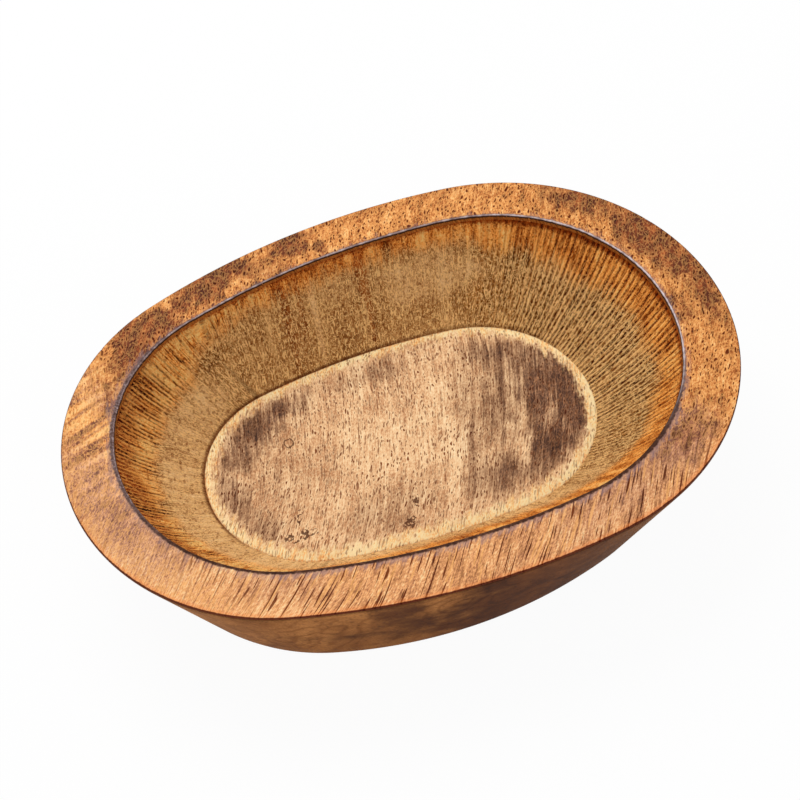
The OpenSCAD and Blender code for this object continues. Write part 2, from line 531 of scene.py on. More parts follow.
@dataclass
class BowlSkin:
    """The bowl's closed skin as one mesh, from its profile and its tool marks."""

    profile: Profile
    marks: GougeMarks
    stains: WallStains
    rim_wave: float = 0.16
    edge_chip: float = 0.28
    lip_ragged: float = 0.30
    lip_wave: float = 0.22
    wall_rough: float = 0.28
    wall_grit: float = 0.07
    floor_bed: float = 0.16
    floor_grit: float = 0.04
    floor_turn: float = -1.25
    floor_aside: float = 0.6
    floor_longer: float = 0.012
    edge_strip: float = 0.7
    sharp_from: float = 48.0
    layers: dict[str, bmesh.types.BMLayerItem] = field(default_factory=dict)

    def build(self, name: str, finishes: list[bpy.types.Material]) -> bpy.types.Object:
        """Builds the skin by drawing one outline out again and again.

        Args:
            name: Name of the piece.
            finishes: Materials in the order of the zones.

        Returns:
            The finished piece, with its place in its mesh.
        """
        shape = bmesh.new()
        column_of = shape.verts.layers.int.new("column")
        self.make_layers(shape)
        first = bmesh.ops.create_circle(shape, segments=self.marks.columns, radius=1.0)["verts"]
        for column, vert in enumerate(first):
            vert[column_of] = column
        rings = self.profile.rings
        self.place(first, rings[0], column_of)
        edges = list(shape.edges)
        bmesh.ops.contextual_create(shape, geom=edges)
        for ring in rings[1:]:
            grown = bmesh.ops.extrude_edge_only(shape, edges=edges)["geom"]
            verts = [part for part in grown if isinstance(part, bmesh.types.BMVert)]
            new = set(verts)
            edges = [part for part in grown if isinstance(part, bmesh.types.BMEdge)
                     and part.verts[0] in new and part.verts[1] in new]
            for part in grown:
                if isinstance(part, bmesh.types.BMFace):
                    part.material_index = ring.zone.value
            self.place(verts, ring, column_of)
        for face in bmesh.ops.contextual_create(shape, geom=edges)["faces"]:
            face.material_index = Zone.FLOOR.value
        bmesh.ops.recalc_face_normals(shape, faces=list(shape.faces))
        self.map_ribs(shape, column_of)
        for face in shape.faces:
            face.smooth = True
        bmesh.ops.scale(shape, vec=(MM, MM, MM), verts=list(shape.verts))
        data = bpy.data.meshes.new(name)
        shape.to_mesh(data)
        shape.free()
        data.set_sharp_from_angle(angle=math.radians(self.sharp_from))
        for finish in finishes:
            data.materials.append(finish)
        return put(name, data)

    def make_layers(self, shape: bmesh.types.BMesh) -> None:
        """Adds the values that the finishes read off the skin."""
        for key in RING_NOTES + WALL_NOTES + LOOP_NOTES:
            self.layers[key] = shape.verts.layers.float.new(key)

    def place(self, verts: list[bmesh.types.BMVert], ring: Ring,
              column_of: bmesh.types.BMLayerItem) -> None:
        """Puts a ring of vertices on its outline and notes what its wood is like.

        Args:
            verts: The vertices of the ring.
            ring: The station of the profile.
            column_of: The layer that holds each vertex's column.
        """
        marks = self.marks
        places = ring.egg.points(marks.turns)
        notes = {key: getattr(ring, key) for key in RING_NOTES}
        for vert in verts:
            column = vert[column_of]
            along, turn = marks.along[column], marks.turns[column]
            x, y = self.skew(ring, *places[column])
            outward, up = self.unevenness(ring, column, x, y)
            vert.co = (x + outward * math.cos(turn), y + outward * math.sin(turn),
                       ring.egg.height + up)
            angle = math.tau * along / ROUND
            notes["loop_x"] = LOOP_RADIUS * math.cos(angle)
            notes["loop_y"] = LOOP_RADIUS * math.sin(angle)
            if ring.zone is Zone.WALL:
                notes |= self.stains.notes(along, ring.depth)
                notes["ribbed"] = marks.strength(along, ring.depth)
            for key, value in notes.items():
                vert[self.layers[key]] = value

    def skew(self, ring: Ring, x: float, y: float) -> tuple[float, float]:
        """Returns a place in the hollow, which lies a little askew towards its floor."""
        lean = math.radians(self.floor_turn) * ring.depth
        y -= ring.egg.back
        longer = x * (1 + self.floor_longer * ring.depth)
        return (longer * math.cos(lean) - y * math.sin(lean) - self.floor_aside * ring.depth,
                longer * math.sin(lean) + y * math.cos(lean) + ring.egg.back)

    def unevenness(self, ring: Ring, column: int, x: float, y: float) -> tuple[float, float]:
        """Works out how the hand-worked surface strays from the true form.

        Args:
            ring: The station of the profile.
            column: The column of the mesh.
            x: Place along the bowl.
            y: Place across the bowl.

        Returns:
            How far the point moves outwards and upwards.
        """
        if ring.zone is Zone.RIM:
            lip_radius = self.profile.lip_radius
            dip = self.rim_wave * (bumps(26, 3.0, x, y) - 1) / 2
            if ring.from_edge <= self.edge_strip:
                chip = max(0.0, bumps(1.7, 9.0, x, y) * bumps(9, 1.0, x, y) * 2.2 - 0.15)
                return -self.edge_chip * chip, dip * max(0.0, ring.from_edge) / self.edge_strip
            if ring.from_lip >= lip_radius:
                return 0.0, dip
            wave = bumps(7, 5.0, x, y) * self.lip_wave
            if ring.from_lip < -1.8:
                ragged = bumps(1.3, 2.0, x, y) * self.lip_ragged
                return wave, ragged * (-ring.from_lip - 1.5)
            return wave * (1 - ring.from_lip / lip_radius) / 2, dip
        if ring.zone is Zone.WALL:
            rough = bumps(9, ring.depth * 4, x, y) * self.wall_rough
            grit = bumps(1.6, ring.depth * 20, x, y) * self.wall_grit
            ends = smooth(0.0, 0.08, ring.depth) * (1 - smooth(0.93, 1.0, ring.depth))
            return (rough + grit) * ends - self.marks.height(column, ring.depth), 0.0
        if ring.zone is Zone.FLOOR:
            bed = bumps(18, 7.0, x, y) * self.floor_bed + bumps(4, 8.0, x, y) * self.floor_grit
            return 0.0, bed * smooth(0.0, 6.0, ring.inside)
        return 0.0, 0.0

    def map_ribs(self, shape: bmesh.types.BMesh, column_of: bmesh.types.BMLayerItem) -> None:
        """Lays a map that counts the ribs one way and the depth the other.

        Args:
            shape: The skin.
            column_of: The layer that holds each vertex's column.
        """
        ribs = shape.loops.layers.uv.new("ribs")
        marks, depth = self.marks, self.layers["depth"]
        for face in shape.faces:
            if len(face.verts) > 4:
                continue
            held = [vert[column_of] for vert in face.verts]
            crosses = max(held) - min(held) > 1
            for loop in face.loops:
                column = loop.vert[column_of]
                if crosses and column == 0:
                    column = marks.columns
                loop[ribs].uv = (column / marks.columns_per_rib, loop.vert[depth])


def put(name: str, data: bpy.types.ID) -> bpy.types.Object:
    """Puts a new object with its data into the scene and returns it."""
    held = bpy.data.objects.new(name, data)
    bpy.context.scene.collection.objects.link(held)
    return held


def shade(red: int, green: int, blue: int) -> tuple[float, float, float, float]:
    """Turns a tone as it is seen on a screen, 0 to 255, into a shader's colour."""
    def part(value: int) -> float:
        """Turns one part of the tone."""
        share = value / 255
        return share / 12.92 if share <= 0.04045 else ((share + 0.055) / 1.055) ** 2.4
    return part(red), part(green), part(blue), 1.0


class Flow:
    """A value in a material that Python's operators work on through Math nodes."""

    def __init__(self, graph: "Graph", socket: bpy.types.NodeSocket) -> None:
        """Keeps the graph and the socket that gives the value."""
        self.graph = graph
        self.socket = socket

    def math(self, operation: str, *values: "Flow | float") -> "Flow":
        """Adds a Math node.

        Args:
            operation: The node's operation.
            values: The values for its inputs in order.

        Returns:
            The node's result.
        """
        return self.graph.node("ShaderNodeMath", {"operation": operation}, dict(enumerate(values)))

    def __add__(self, other: "Flow | float") -> "Flow":
        """Returns the sum."""
        return self.math("ADD", self, other)

    __radd__ = __add__

    def __sub__(self, other: "Flow | float") -> "Flow":
        """Returns the difference."""
        return self.math("SUBTRACT", self, other)

    def __rsub__(self, other: "Flow | float") -> "Flow":
        """Returns the difference from a number."""
        return self.math("SUBTRACT", other, self)

    def __mul__(self, other: "Flow | float") -> "Flow":
        """Returns the product."""
        return self.math("MULTIPLY", self, other)

    __rmul__ = __mul__

    def __truediv__(self, other: "Flow | float") -> "Flow":
        """Returns the quotient."""
        return self.math("DIVIDE", self, other)

    def __abs__(self) -> "Flow":
        """Returns the value without its sign."""
        return self.math("ABSOLUTE", self)

    def floor(self) -> "Flow":
        """Returns the whole number below."""
        return self.math("FLOOR", self)

    def fraction(self) -> "Flow":
        """Returns what is left above the whole number below."""
        return self.math("FRACT", self)

    def most(self, other: "Flow | float") -> "Flow":
        """Returns the larger of two values."""
        return self.math("MAXIMUM", self, other)

    def least(self, other: "Flow | float") -> "Flow":
        """Returns the smaller of two values."""
        return self.math("MINIMUM", self, other)

    def step(self, low: float, high: float) -> "Flow":
        """Returns a smooth step from 0 at low to 1 at high, either way round."""
        return self.graph.node("ShaderNodeMapRange", {"interpolation_type": "SMOOTHSTEP"}, {
            "Value": self, "From Min": min(low, high), "From Max": max(low, high),
            "To Min": float(low > high), "To Max": float(low < high)})


class Graph:
    """The nodes of a material or a world, with short ways to add what the wood needs."""

    def __init__(self, name: str, world: bool = False) -> None:
        """Starts a material, or a world, with an empty set of nodes."""
        kinds = bpy.data.worlds if world else bpy.data.materials
        self.owner = kinds.new(name)
        self.owner.use_nodes = True
        self.tree = self.owner.node_tree
        self.tree.nodes.clear()
        self.kept: dict[str, Flow] = {}

    def node(self, kind: str, settings: dict | None = None, inputs: dict | None = None,
             output: str | int = 0) -> Flow:
        """Adds one node.

        Args:
            kind: Blender's name for the node's type.
            settings: Values set on the node before its sockets, such as its operation
                or, under "stops", the places and colours of a ramp.
            inputs: Values or links by the name or number of the socket.
            output: Name or number of the socket that is read.

        Returns:
            The chosen result of the node.
        """
        made = self.tree.nodes.new(kind)
        for key, value in (settings or {}).items():
            if key == "stops":
                ramp = made.color_ramp
                while len(ramp.elements) < len(value):
                    ramp.elements.new(0.5)
                for stop, (place, colour) in zip(ramp.elements, value):
                    stop.position, stop.color = place, colour
            else:
                setattr(made, key, value)
        for key, value in (inputs or {}).items():
            if isinstance(value, Flow):
                self.tree.links.new(value.socket, made.inputs[key])
            else:
                made.inputs[key].default_value = value
        return Flow(self, made.outputs[output] if len(made.outputs) else None)

    def place(self, axis: int) -> Flow:
        """Returns the place along an axis of the bowl, in millimetres."""
        key = "xyz"[axis]
        if key not in self.kept:
            at = self.node("ShaderNodeTexCoord", output="Object")
            for number, name in enumerate("xyz"):
                self.kept[name] = self.node("ShaderNodeSeparateXYZ", inputs={0: at},
                                            output=number) * (1 / MM)
        return self.kept[key]

    def noted(self, name: str) -> Flow:
        """Returns a value that the skin carries."""
        if name not in self.kept:
            self.kept[name] = self.node("ShaderNodeAttribute", {"attribute_name": name},
                                        output="Fac")
        return self.kept[name]

    def vector(self, x: Flow | float, y: Flow | float, z: Flow | float) -> Flow:
        """Joins three values into a place."""
        return self.node("ShaderNodeCombineXYZ", inputs={0: x, 1: y, 2: z})

    def cloud(self, at: Flow, detail: float = 2.0, rough: float = 0.5) -> Flow:
        """Returns noise spread from 0 to 1, with features about one unit wide."""
        raw = self.node("ShaderNodeTexNoise", inputs={
            "Vector": at, "Scale": 1.0, "Detail": detail, "Roughness": rough}, output="Fac")
        return self.node("ShaderNodeMapRange", inputs={
            "Value": raw, "From Min": NOISE_SPAN[0], "From Max": NOISE_SPAN[1]})

    def curls(self, at: Flow, thin: float = 0.1) -> Flow:
        """Returns thin curling lines about one unit apart."""
        return abs(self.cloud(at, 1.0) - 0.5).step(thin, thin * 0.3)

    def cells(self, at: Flow, level: bool) -> tuple[Flow, Flow]:
        """Scatters points about one unit apart.

        Args:
            at: The place that is shaded.
            level: Whether they are scattered over a level surface, not in the round.

        Returns:
            Distance to the nearest point, and a number from 0 to 1 of its own.
        """
        near = self.node("ShaderNodeTexVoronoi", {"voronoi_dimensions": "2D" if level else "3D"},
                         {"Vector": at, "Scale": 1.0}, output="Distance")
        made = near.socket.node
        own = self.node("ShaderNodeSeparateColor", inputs={0: Flow(self, made.outputs["Color"])})
        return near, own

    def mix(self, share: Flow | float, first: "Flow | tuple", second: "Flow | tuple",
            blend: str = "MIX") -> Flow:
        """Mixes two colours.

        Args:
            share: How much of the second shows.
            first: The colour under it.
            second: The colour over it.
            blend: The way they mix.

        Returns:
            The mixed colour.
        """
        return self.node("ShaderNodeMix", {"data_type": "RGBA", "blend_type": blend},
                         {0: share, 6: first, 7: second}, output=2)

    def stain(self, share: Flow | float, colour: Flow, r: int, g: int, b: int) -> Flow:
        """Darkens a colour by a stain that leaves its warmth."""
        return self.mix(share, colour, shade(r, g, b), blend="MULTIPLY")

    def ramp(self, at: Flow, *stops: tuple[float, tuple]) -> Flow:
        """Returns a colour off a ramp of (place, colour) stops."""
        return self.node("ShaderNodeValToRGB", {"stops": list(stops)}, {0: at}, output="Color")

    def finish(self, colour: Flow, roughness: Flow | float, height: Flow, relief: float,
               shine: float = 0.4) -> bpy.types.Material:
        """Closes the material with its shader.

        Args:
            colour: The colour of the surface.
            roughness: How matt it is.
            height: Its fine relief, 1 at the highest.
            relief: How far the relief reaches, in millimetres.
            shine: How strongly it reflects.

        Returns:
            The material.
        """
        bump = self.node("ShaderNodeBump", inputs={
            "Strength": 1.0, "Distance": relief * MM, "Height": height})
        shader = self.node("ShaderNodeBsdfPrincipled", inputs={
            "Base Color": colour, "Roughness": roughness, "Normal": bump,
            "Specular IOR Level": shine})
        self.node("ShaderNodeOutputMaterial", inputs={"Surface": shader})
        return self.owner


@dataclass(frozen=True)
class Tones:
    """Four tones of a stretch of wood, from its dark lines to its lightest fibres."""

    dark: Shade
    middle: Shade
    light: Shade
    top: Shade

    def over(self, at: Flow) -> Flow:
        """Returns the colour for a value from 0, the darkest, to 1."""
        return at.graph.ramp(at, *((stop, shade(*tone)) for stop, tone in zip(
            TONE_STOPS, (self.dark, self.middle, self.light, self.top))))


@dataclass(frozen=True)
class Patch:
    """A soft oval patch on a level surface, seen from above."""

    x: float
    y: float
    half_x: float
    half_y: float
    turn: float = 0.0
    strength: float = 1.0
    soft: float = 0.45

    def reach(self, at: Flow) -> Flow:
        """Returns the distance from the middle, 1 on the patch's border."""
        local = at.graph.node("ShaderNodeMapping", {"vector_type": "TEXTURE"}, {
            "Vector": at, "Location": (self.x, self.y, 0.0),
            "Rotation": (0.0, 0.0, math.radians(self.turn)),
            "Scale": (self.half_x, self.half_y, 1e5)})
        return at.graph.node("ShaderNodeVectorMath", {"operation": "LENGTH"}, {0: local},
                             output="Value")

    def share(self, at: Flow) -> Flow:
        """Returns how much of the patch reaches each place.

        Args:
            at: The place that is shaded, in millimetres.

        Returns:
            A value from 0 to the patch's strength.
        """
        return at.graph.node("ShaderNodeMapRange", {"interpolation_type": "SMOOTHSTEP"}, {
            "Value": self.reach(at), "From Min": 1 - self.soft, "From Max": 1 + self.soft,
            "To Min": self.strength, "To Max": 0.0})


def strongest(patches: tuple[Patch, ...], at: Flow) -> Flow:
    """Returns the strongest of some patches at each place."""
    most = patches[0].share(at)
    for patch in patches[1:]:
        most = most.most(patch.share(at))
    return most


class Grain:
    """The block's wood: fibres that run askew through it, with open pores."""

    lean = 0.28
    rise = 0.35
    bend_from = 35
    bend_behind = 0.00175
    bend_in_front = 0.26

    def __init__(self, graph: Graph, level: bool = True) -> None:
        """Finds the way across the grain, on a level surface or in the round."""
        self.graph = graph
        self.level = level
        self.x, self.y, self.z = (graph.place(axis) for axis in range(3))
        ahead = self.y - self.bend_from
        bend = ahead * abs(ahead) * self.bend_behind \
            + self.y.least(0.0) * self.x.step(-5, -115) * self.bend_in_front
        sway = graph.cloud(graph.vector(self.x / 45, self.y / 60, self.z / 30), 1.0) * 3
        self.across = self.x - self.y * self.lean - bend + self.z * self.rise + sway

    def at(self, wide: float, long: float, seed: float) -> Flow:
        """Returns a place in the wood measured in fibres.

        Args:
            wide: Size of a feature across the grain, in millimetres.
            long: Size of a feature along the grain.
            seed: Sets one pattern off from another.

        Returns:
            The place, for a noise that has features one unit wide.
        """
        return self.graph.vector(self.across / wide + seed, self.y / long + seed * 1.7,
                                 self.z / wide)

    def fibres(self, wide: float, long: float, seed: float, detail: float = 2.0) -> Flow:
        """Returns streaks along the grain, from 0 to 1."""
        return self.graph.cloud(self.at(wide, long, seed), detail, 0.6)

    def flat(self, wide: float, long: float, seed: float) -> Flow:
        """Returns a place on a level surface, measured in features along the grain."""
        return self.graph.vector(self.across / wide, self.y / long, seed)

    def haze(self, size: float, high: Flow | float, detail: float = 2.0,
             rough: float = 0.5) -> Flow:
        """Returns noise that takes no note of the grain.

        Args:
            size: Size of a feature, in millimetres.
            high: The place up the block, or a number that sets one haze off from another.
            detail: How many finer layers it has.
            rough: How strong they are.

        Returns:
            A value from 0 to 1.
        """
        at = self.graph.vector(self.x / size, self.y / size, high)
        return self.graph.cloud(at, detail, rough)

    def pores(self, wide: float, long: float, size: float, share: float,
              seed: float) -> tuple[Flow, Flow]:
        """Scatters pores drawn out along the grain.

        Args:
            wide: Distance between pores across the grain.
            long: Distance between pores along the grain.
            size: Size of a pore, as a share of those distances.
            share: How many of the places hold a pore.
            seed: Sets one scatter off from another.

        Returns:
            The pores themselves and the lighter ring round each.
        """
        graph = self.graph
        aside = graph.cloud(self.at(wide * 1.4, long * 1.2, seed + 2), 1.0) * 0.6
        ahead = graph.cloud(self.at(wide * 1.2, long * 1.4, seed + 5), 1.0) * 0.6
        nudge = graph.vector(aside, ahead, 0.0)
        spot = graph.node("ShaderNodeVectorMath", {"operation": "ADD"},
                          {0: self.at(wide, long, seed), 1: nudge})
        near, own = graph.cells(spot, self.level)
        near = near / (own * 0.8 + 0.5)
        held = own.step(1 - share, 1.08 - share)
        pore = near.step(size * 1.25, size * 0.75) * held
        ring = near.step(size * 3.0, size * 1.4) * held
        return pore, ring

    def warped(self, along: float, aside: float, lean: float = 0.38) -> Flow:
        """Returns the place in millimetres, frayed along the grain.

        Args:
            along: How far places stray along the grain.
            aside: How far they stray any way.
            lean: How far the grain leans over there, across for each step along.

        Returns:
            The place, for patches whose borders follow the fibres.
        """
        fray = (self.fibres(1.6, 16, 31.0) - 0.5) * (2 * along)
        stray = (self.haze(9, 0.0, 3.0) - 0.5) * (2 * aside)
        return self.graph.vector(self.x + fray * lean + stray, self.y + fray - stray, 0.0)


class Loop:
    """The wall unrolled: its run wound on a circle, and the way down it."""

    def __init__(self, graph: Graph) -> None:
        """Reads the place on the wall off the skin."""
        self.graph = graph
        self.x, self.y, self.down = (graph.noted(key) for key in ("loop_x", "loop_y", "down"))

    def at(self, size: float, deep: float) -> Flow:
        """Returns a place on the wall measured in features so wide and so deep."""
        return self.graph.vector(self.x / size, self.y / size, self.down / deep)


@dataclass(frozen=True)
class RimFinish:
    """Oiled rim with open pores, scorched in patches, and its burnished lip, with painted sheen and
    highlight.
    """

    plain: Tones = Tones((92, 42, 12), (176, 100, 46), (228, 148, 80), (255, 204, 134))
    # Paler, greyer copy of the plain tones for the front of the rim: painted sheen where the light
    # grazes it.
    front: Tones = Tones((100, 56, 34), (190, 126, 82), (242, 172, 114), (255, 220, 164))
    scorched: Tones = Tones((62, 25, 12), (104, 50, 26), (150, 77, 37), (216, 130, 70))
    # Greyer, pinker tones: painted sheen in patches, also laid on the dark grain bands at the left.
    sheen_and_band_tones: Tones = Tones((88, 54, 42), (140, 94, 74), (188, 132, 102), (240, 180, 138))
    pore: Shade = (118, 72, 44)
    lip: Tones = Tones((46, 20, 8), (66, 34, 18), (92, 58, 42), (150, 116, 104))
    # Tones of the painted highlight, the lamps' reflection on the lip's rounding.
    sheen: Tones = Tones((80, 58, 52), (122, 98, 96), (164, 144, 144), (226, 212, 214))
    patches: tuple[Patch, ...] = rows(
        Patch, (-44, 80, 15, 8, 8, 1.0, 0.6), (-12, 84, 9, 6, 4, 1.0, 0.6),
        (-79, 62, 18, 10, 32, 1.0, 0.6), (-60, 72, 14, 6, 25, 0.9, 0.6),
        (-28, 76, 12, 5, 10, 0.5, 0.8), (-96, 44, 14, 5, 55, 0.5, 0.7),
        (115, 33, 9, 27, 12, 1.0, 0.6), (122, 8, 5, 24, 0, 0.9, 0.6),
        (60, 84, 20, 4, -8, 0.25, 0.7), (97, 62, 15, 7, -50, 0.9, 0.7),
        (108, -4, 8, 8, 10, 0.6, 0.8), (88, -56, 14, 6, 30, 0.5, 0.7))
    # Patches of painted sheen that grey the rim, at the front and at the left end.
    sheen_patches: tuple[Patch, ...] = rows(
        Patch, (-22, -78, 14, 7, 40, 0.15, 0.8), (12, -83, 13, 7, 40, 0.25, 0.8),
        (-70, -62, 20, 8, -30, 0.4, 0.7), (58, -72, 32, 9, 22, 0.65, 0.9),
        (84, -58, 17, 10, 35, 0.95, 0.7), (38, -76, 11, 9, 20, 0.5, 0.7),
        (-110, -10, 15, 36, 17, 0.9, 0.5), (-99, 36, 7, 24, 28, 0.5, 0.7))

    def make(self) -> bpy.types.Material:
        """Makes the material."""
        graph = Graph("rim_wood")
        grain = Grain(graph)
        front = (grain.y + grain.x * 0.22).step(-25, -58)
        left = (grain.x + grain.y * 0.3).step(-70, -92)
        corner = (grain.x + grain.y * 0.45).step(-102, -124)
        streaky = front * (1 - corner * 0.75)
        away = 1 - front
        fine = grain.fibres(0.6, 2.4, 1.0) * away + grain.fibres(0.6, 5, 3.0) * front
        medium = grain.fibres(1.6, 9, 5.0) * away + grain.fibres(2.2, 26, 8.0) * front
        mottle = graph.cloud(grain.flat(4.5, 6.5, 2.0), 2.0, 0.5)
        broad = grain.haze(17, 2.0, 3.0)
        dust = graph.cloud(grain.flat(0.7, 1.0, 6.0), 2.0, 0.7)
        far = grain.x.step(10, 70)
        tone = (fine - 0.5) * 0.38 + (medium - 0.5) * (front * far * 0.2 + 0.26 - corner * 0.16) \
            + (broad - 0.5) * 0.2 + (mottle - 0.5) * (away * 0.6 + 0.2) * (1 - left * 0.5) * 0.46 \
            + (dust - 0.5) * 0.48 + left * 0.09 + front * 0.01 + 0.515
        bands = graph.cloud(graph.vector((grain.y - grain.x * 0.32) / 3.1, grain.x / 34, 4.0), 1.0)
        banded = left * (1 - corner) * grain.y.step(-55, -30)
        dim = bands.step(0.5, 0.28) * banded
        tone = tone + (bands - 0.5) * banded * 0.7
        burn = strongest(self.patches, grain.warped(3.0, 5.0))
        burn = burn * (1.4 - mottle * 0.5) + mottle.step(0.32, 0.0) * away * 0.3
        # Painted sheen in patches, joined with the dark grain bands at the left end.
        sheen_and_bands = strongest(self.sheen_patches, grain.warped(3.0, 2.4, 0.75)) * (1.3 - medium * 0.6)
        sheen_and_bands = sheen_and_bands.most(dim * 0.65)
        colour = graph.mix(front, self.plain.over(tone), self.front.over(tone))
        colour = graph.mix(sheen_and_bands.step(0.0, 1.0), colour, self.sheen_and_band_tones.over(tone))
        soft = tone * 0.5 + (mottle - 0.5) * 0.34 + 0.2
        colour = graph.mix(burn.step(0.0, 1.0), colour, self.scorched.over(soft))
        pores, rings = grain.pores(2.0, 3.8, 0.165, 0.85, 11.0)
        specks, _ = grain.pores(1.2, 2.6, 0.14, 0.7, 17.0)
        lines, _ = grain.pores(2.2, 60, 0.13, 0.75, 23.0)
        cuts, _ = grain.pores(1.7, 18, 0.15, 0.7, 29.0)
        glints, _ = grain.pores(1.9, 22, 0.22, 0.5, 37.0)
        dots = pores.most(specks * broad.step(0.4, 0.7)) * (1 - streaky * 0.7) \
            * (1 - left * 0.6) * (1 - corner * 0.6)
        dark = dots.most(lines.most(cuts) * (streaky * 0.85 + 0.12))
        curls = graph.curls(grain.flat(1.4, 2.2, 7.0), 0.13)
        halo = (rings * 0.35).most(curls * 0.5) * (away * 0.7 + 0.3).most(corner) \
            * (1 - burn.step(0.0, 1.0) * 0.4)
        colour = graph.mix(halo.most(glints * streaky * 0.5), colour, shade(255, 186, 108))
        colour = graph.stain(dark, colour, *self.pore)
        lip = graph.noted("from_lip")
        rag = (grain.haze(1.5, 1.0, 3.0) - 0.5) * 1.0
        # Painted highlight on the lip: lit is 1 at the back and right, where the rounding faces the
        # front lamp; dimmer at the left end, brighter at the right.
        lit = (graph.noted("loop_y") + grain.x * 0.1).step(-46, 0)
        gloom = grain.x.step(-55, -95)
        wide = (1 - lit) * (1 - gloom * 0.2) * 0.95 + (gloom * 1.2 - 0.4) * lit
        # Painted sheen: a violet-grey veil on the rim beside the lip.
        sheen_veil = (lip + rag * 2 - wide * 1.6 + (medium - 0.5) * 5).step(3.2, 0.4) \
            * (wide * 0.25 + 0.34) * (1 - gloom * 0.3)
        colour = graph.mix(sheen_veil, colour, shade(152, 124, 124))
        gleam = grain.haze(2.6, 0.0, 2.0)
        line = abs(lip - 0.15 + rag * 0.15).step(0.55, 0.15)
        glitter = grain.haze(0.9, 5.0, 2.0, 0.7)
        shine = (line * 0.36 + gleam * 0.44) * (1 - gloom * 0.4) + 0.14 \
            + (glitter - 0.46) * gloom * 0.6 + grain.x.step(40, 100) * 0.12
        # The lip's dark burnished tones where it faces away from the light, the painted highlight
        # where lit.
        band = graph.mix(lit, self.lip.over(gleam * 0.5 + rag * 0.4 + 0.12), self.sheen.over(shine))
        colour = graph.mix((lip + rag * 0.8 - wide).step(1.55, 0.65), colour, band)
        nick = grain.haze(0.7, 0.0, 2.0).step(0.8, 0.9)
        # Dark line down the lip's inner face: partly real char, partly painted shadow of the
        # undercut.
        char_and_shadow = (lip + rag * 0.4).step(-0.35, -0.75)
        colour = graph.mix(char_and_shadow, colour, graph.mix(nick * 0.6, shade(38, 16, 6),
                                                   shade(214, 140, 66)))
        below = (lip + rag * 0.5).step(-0.95, -1.5)
        colour = graph.mix(below * 0.85, colour, graph.mix(dust, shade(110, 54, 14),
                                                           shade(214, 136, 62)))
        edge = graph.noted("from_edge")
        glow = (edge + rag * 0.8).step(2.2, 0.5) * front * 0.4
        colour = graph.mix(glow, colour, shade(238, 134, 66))
        worn = (edge + rag * 0.35).step(0.5, 0.05)
        colour = graph.stain(worn, colour, 112, 78, 66)
        height = 0.7 - dark * 0.25 + fine * 0.25 + dust * 0.15 + rag * 0.05
        rough = 0.62 - (lip + rag * 0.3).step(2.2, 0.8) * 0.2 + dark * 0.2
        return graph.finish(colour, rough, height, 0.25, 0.1)


